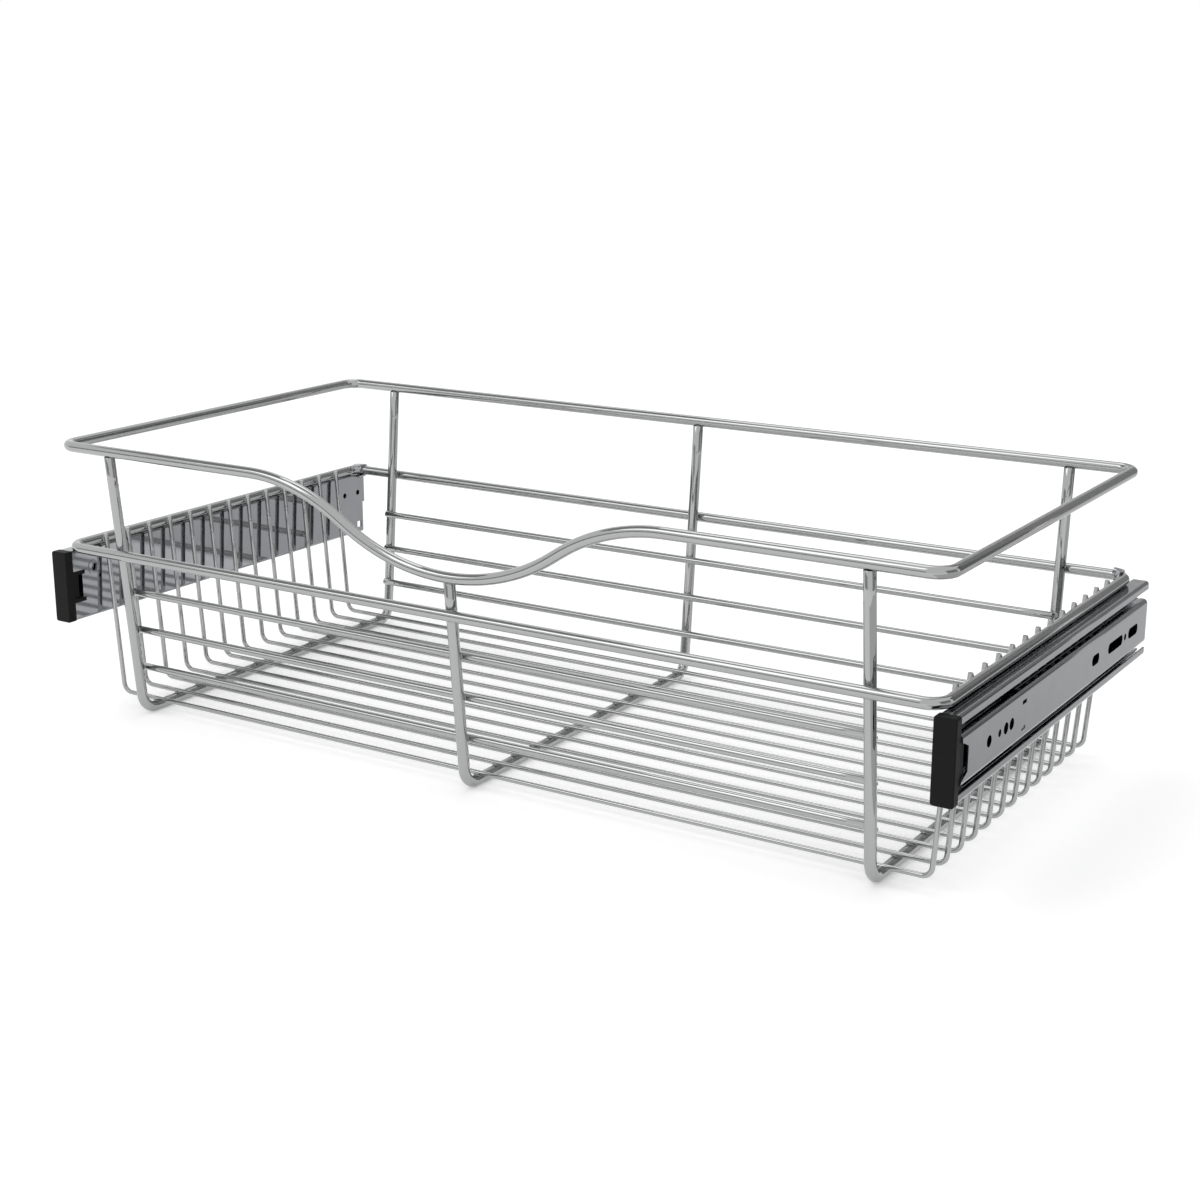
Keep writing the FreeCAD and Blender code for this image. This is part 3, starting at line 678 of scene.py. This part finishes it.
class BASKET_OT_welds(bpy.types.Operator):
    """Make the squeezed-out weld metal wherever two wires cross"""

    bl_idname = "basket.welds"
    bl_label = "Welds"

    def execute(self, context):
        settings = context.scene.basket_wires
        seeds = random.Random(WELD_SEED)
        groups = (("floor_welds", self.floor_spots(settings)),
                  ("side_welds", self.side_spots(settings)),
                  ("rail_welds", self.rail_spots(settings)),
                  ("rim_welds", self.rim_spots(settings)))
        for name, spots in groups:
            bm = bmesh.new()
            for spot in spots:
                add_bead(bm, *spot, seed=seeds.uniform(0, 50))
            piece = new_piece(name, bm, weld_metal())
            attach(piece, "basket")
        return {"FINISHED"}

    def spot(self, kind, centre, along_a, wire_a, along_b, wire_b):
        """Place, directions and size of one bead."""
        share_a, share_b, height = WELD_SIZES[kind]
        return centre, along_a, along_b, share_a * wire_a, share_b * wire_b, height

    def floor_spots(self, settings):
        """Cross wires on the loops' floor runs."""
        spots = []
        for loop in LOOPS:
            run = loop_corners(settings, loop)[1]
            for node in CROSS_WIRES:
                y = cross_wire_corners(settings, node)[1].y
                centre = Vector((run.x, y, run.z + settings.loop_wire / 2))
                spots.append(self.spot("floor", centre, Vector((1, 0, 0)), settings.loop_wire,
                                       Vector((0, 1, 0)), settings.cross_wire))
        return spots

    def side_spots(self, settings):
        """Cross wires' ends inside the middle rim."""
        spots = []
        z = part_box("middle_rim")[1].z - settings.middle_wire / 2
        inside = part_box("middle_rim")[1].x - settings.middle_wire
        for node in CROSS_WIRES:
            corners = cross_wire_corners(settings, node)
            up = (corners[3] - corners[2]).normalized()
            for side in (-1, 1):
                centre = Vector((side * inside, corners[1].y, z))
                leaning = Vector((side * up.x, 0, up.z))
                spots.append(self.spot("side", centre, leaning, settings.middle_wire,
                                       Vector((0, 1, 0)), settings.cross_wire))
        return spots

    def rail_spots(self, settings):
        """Rails on the inner faces of the loops' legs."""
        spots = []
        for node in RAILS:
            middle, _, radius = rail_line(node)
            side = 1 if middle.y > basket_middle() else -1
            for loop in LOOPS:
                corners = loop_corners(settings, loop)
                first = 3 if side > 0 else 0
                leg = point_at_height(corners, first, middle.z)
                up = (corners[first] - corners[2 if first else 1]).normalized()
                away = Vector((1, 0, 0)).cross(up).normalized()
                inward = away if away.y * side < 0 else -away
                centre = leg + inward * (settings.loop_wire / 2 - WELD_SINK)
                spots.append(self.spot("rail", centre, Vector((1, 0, 0)), settings.loop_wire, up, 2 * radius))
        return spots

    def rim_spots(self, settings):
        """Middle rim outside the loops' legs, and the top rim on the legs' ends."""
        spots = []
        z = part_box("middle_rim")[1].z - settings.middle_wire / 2
        for loop in LOOPS:
            corners = loop_corners(settings, loop)
            for first, foot in ((0, 1), (3, 2)):
                side = 1 if first else -1
                leg = point_at_height(corners, first, z)
                up = (corners[first] - corners[foot]).normalized()
                out = Vector((1, 0, 0)).cross(up).normalized()
                out = out if out.y * side > 0 else -out
                centre = leg + out * (settings.loop_wire / 2 - WELD_SINK)
                spots.append(self.spot("rim", centre, Vector((1, 0, 0)), settings.loop_wire,
                                       up, settings.middle_wire))
                centre = corners[first] - up * WELD_SINK
                spots.append(self.spot("leg_end", centre, Vector((1, 0, 0)), settings.loop_wire,
                                       Vector((0, 1, 0)), settings.loop_wire))
        return spots


class BASKET_OT_slides(bpy.types.Operator):
    """Finish the slides' sheet members in bright zinc"""

    bl_idname = "basket.slides"
    bl_label = "Slide members"

    def execute(self, context):
        material = zinc_sheet()
        for side in SIDES:
            for part in ("channel", "intermediate_member", "wall_member"):
                dress(f"{part}_{side}", material)
        return {"FINISHED"}


class BASKET_OT_bearings(bpy.types.Operator):
    """Finish the ball cages and the balls"""

    bl_idname = "basket.bearings"
    bl_label = "Ball bearings"

    def execute(self, context):
        cage = cage_strip()
        ball = ball_steel()
        for side in SIDES:
            for row in ("outer", "inner"):
                dress(f"{row}_cage_{side}", cage)
                dress(f"{row}_balls_{side}", ball)
        return {"FINISHED"}


class BASKET_OT_end_caps(bpy.types.Operator):
    """Finish the moulded end caps and rear stops"""

    bl_idname = "basket.end_caps"
    bl_label = "Caps and stops"

    def execute(self, context):
        material = cap_plastic()
        for side in SIDES:
            dress(f"end_cap_{side}", material)
            dress(f"rear_stop_{side}", material)
        return {"FINISHED"}


# Stage

def seen_as_background(owner):
    """1 for rays from the camera and in mirror or clear surfaces, 0 for light that falls on things."""
    tree = owner.node_tree
    rays = add_node(owner, "ShaderNodeLightPath")
    first = add_node(owner, "ShaderNodeMath", {"operation": "MAXIMUM"})
    tree.links.new(rays.outputs["Is Camera Ray"], first.inputs[0])
    tree.links.new(rays.outputs["Is Glossy Ray"], first.inputs[1])
    second = add_node(owner, "ShaderNodeMath", {"operation": "MAXIMUM"})
    tree.links.new(first.outputs[0], second.inputs[0])
    tree.links.new(rays.outputs["Is Transmission Ray"], second.inputs[1])
    return second


def floor_material(colour):
    """Matte white floor paint, lifted to the white of the room where it is seen or mirrored."""
    material, output = new_material("matte_floor")
    missing_white = 0.26      # what the lit paint lacks to the room's white
    diffuse = add_node(material, "ShaderNodeBsdfDiffuse", {"Color": (*colour, 1)})
    lift = add_node(material, "ShaderNodeEmission", {"Color": (1, 1, 1, 1)})
    seen = seen_as_background(material)
    amount = add_node(material, "ShaderNodeMath", {"operation": "MULTIPLY"})
    amount.inputs[1].default_value = missing_white
    both = add_node(material, "ShaderNodeAddShader")
    links = material.node_tree.links
    links.new(seen.outputs[0], amount.inputs[0])
    links.new(amount.outputs[0], lift.inputs["Strength"])
    links.new(diffuse.outputs[0], both.inputs[0])
    links.new(lift.outputs[0], both.inputs[1])
    return finish_material(material, output, both)


def card_material(grey):
    """Matte grey card of the studio."""
    material, output = new_material(f"studio_card_{round(grey * 100)}")
    shader = add_node(material, "ShaderNodeBsdfDiffuse", {"Color": (grey, grey, grey, 1)})
    return finish_material(material, output, shader)


def direction(azimuth, elevation):
    """Unit vector towards an azimuth from the basket's front, positive to its right, and an elevation."""
    a = math.radians(azimuth)
    e = math.radians(elevation)
    return Vector((math.sin(a) * math.cos(e), -math.cos(a) * math.cos(e), math.sin(e)))


def add_sheet(name, centre, facing, width, height, material):
    """Flat stage sheet that faces along a direction."""
    bm = bmesh.new()
    turn = facing.to_track_quat("Z", "Y").to_matrix()
    corners = ((-1, -1), (1, -1), (1, 1), (-1, 1))
    verts = [bm.verts.new(centre + turn @ Vector((x * width / 2, y * height / 2, 0))) for x, y in corners]
    bm.faces.new(verts)
    sheet = new_piece(name, bm, material)
    return sheet


class BASKET_OT_stage(bpy.types.Operator):
    """Make the floor, the room, the lights and the camera"""

    bl_idname = "basket.stage"
    bl_label = "Stage"

    def execute(self, context):
        settings = context.scene.basket_stage
        add_sheet("floor", Vector((0, 0, 0)), Vector((0, 0, 1)), FLOOR_SIZE, FLOOR_SIZE,
                  floor_material(settings.floor))
        self.make_cards()
        self.make_world(context.scene, settings)
        self.make_lights(context.scene, settings)
        self.make_camera(context.scene, settings)
        context.scene.view_settings.view_transform = "Standard"
        return {"FINISHED"}

    def make_cards(self):
        """Grey cards round the basket, which give the bright wires their darker streaks."""
        for name, azimuth, elevation, distance, width, height, grey in CARDS:
            towards = direction(azimuth, elevation)
            card = add_sheet(name, STUDIO_MIDDLE + towards * distance, -towards, width, height,
                             card_material(grey))
            self.show_in_mirrors_only(card)
        for name, x0, x1, y0, y1, grey in FLOOR_CARDS:
            centre = Vector(((x0 + x1) / 2, (y0 + y1) / 2, FLOOR_CARD_LIFT))
            card = add_sheet(name, centre, Vector((0, 0, 1)), x1 - x0, y1 - y0, card_material(grey))
            self.show_in_mirrors_only(card)

    def show_in_mirrors_only(self, card):
        """Keeps a card out of the picture and off the light."""
        card.visible_camera = False
        card.visible_diffuse = False
        card.visible_shadow = False

    def make_world(self, scene, settings):
        """White room: as a background it is plain white, as light it is even and a little lower."""
        world = bpy.data.worlds.new("white_room")
        world.use_nodes = True
        tree = world.node_tree
        tree.nodes.clear()
        white = (1, 1, 1, 1)
        light = add_node(world, "ShaderNodeBackground", {"Strength": settings.room_light, "Color": white})
        backdrop = add_node(world, "ShaderNodeBackground", {"Strength": 1.0, "Color": white})
        mix = add_node(world, "ShaderNodeMixShader")
        output = add_node(world, "ShaderNodeOutputWorld")
        tree.links.new(seen_as_background(world).outputs[0], mix.inputs[0])
        tree.links.new(light.outputs[0], mix.inputs[1])
        tree.links.new(backdrop.outputs[0], mix.inputs[2])
        tree.links.new(mix.outputs[0], output.inputs["Surface"])
        scene.world = world

    def make_lights(self, scene, settings):
        """One softbox high at the front left, and a weaker one overhead behind."""
        for name, azimuth, elevation, distance, share in SOFTBOXES:
            lamp = bpy.data.lights.new(name, "AREA")
            lamp.shape = "SQUARE"
            lamp.size = settings.softbox_size
            lamp.energy = settings.softbox_power * share
            holder = bpy.data.objects.new(name, lamp)
            towards = direction(azimuth, elevation)
            holder.location = STUDIO_MIDDLE + towards * distance
            holder.rotation_mode = "QUATERNION"
            holder.rotation_quaternion = towards.to_track_quat("Z", "Y")
            scene.collection.objects.link(holder)

    def make_camera(self, scene, settings):
        """Camera at the photograph's viewing angle."""
        lens = bpy.data.cameras.new("camera")
        lens.sensor_width = 36
        lens.lens = settings.lens
        camera = bpy.data.objects.new("camera", lens)
        back = direction(math.degrees(settings.azimuth), math.degrees(settings.elevation))
        camera.location = Vector(settings.target) + back * settings.distance
        camera.rotation_mode = "QUATERNION"
        camera.rotation_quaternion = back.to_track_quat("Z", "Y")
        scene.collection.objects.link(camera)
        scene.camera = camera


class BASKET_PT_panel(bpy.types.Panel):
    """Settings and pieces of the wire basket"""

    bl_label = "Wire basket"
    bl_idname = "BASKET_PT_panel"
    bl_space_type = "VIEW_3D"
    bl_region_type = "UI"
    bl_category = "Wire Basket"

    def draw(self, context):
        layout = self.layout
        for holder in ("basket_wires", "basket_slides", "basket_stage"):
            settings = getattr(context.scene, holder)
            column = layout.column(align=True)
            for key in settings.__annotations__:
                column.prop(settings, key)
        for operator in PIECES:
            layout.operator(operator.bl_idname)


PIECES = (BASKET_OT_rims, BASKET_OT_frame_loops, BASKET_OT_rails, BASKET_OT_cross_wires, BASKET_OT_welds,
          BASKET_OT_slides, BASKET_OT_bearings, BASKET_OT_end_caps, BASKET_OT_stage)
GROUPS = (WireSettings, SlideSettings, StageSettings)


def register():
    """Registers the settings, the pieces' operators and the panel."""
    for cls in GROUPS + PIECES + (BASKET_PT_panel,):
        bpy.utils.register_class(cls)
    bpy.types.Scene.basket_wires = PointerProperty(type=WireSettings)
    bpy.types.Scene.basket_slides = PointerProperty(type=SlideSettings)
    bpy.types.Scene.basket_stage = PointerProperty(type=StageSettings)


def unregister():
    """Takes them out again."""
    del bpy.types.Scene.basket_stage
    del bpy.types.Scene.basket_slides
    del bpy.types.Scene.basket_wires
    for cls in reversed(GROUPS + PIECES + (BASKET_PT_panel,)):
        bpy.utils.unregister_class(cls)


def main():
    """Makes every piece."""
    register()
    bpy.ops.basket.rims()
    bpy.ops.basket.frame_loops()
    bpy.ops.basket.rails()
    bpy.ops.basket.cross_wires()
    bpy.ops.basket.welds()
    bpy.ops.basket.slides()
    bpy.ops.basket.bearings()
    bpy.ops.basket.end_caps()
    bpy.ops.basket.stage()


if __name__ == "__main__":
    main()
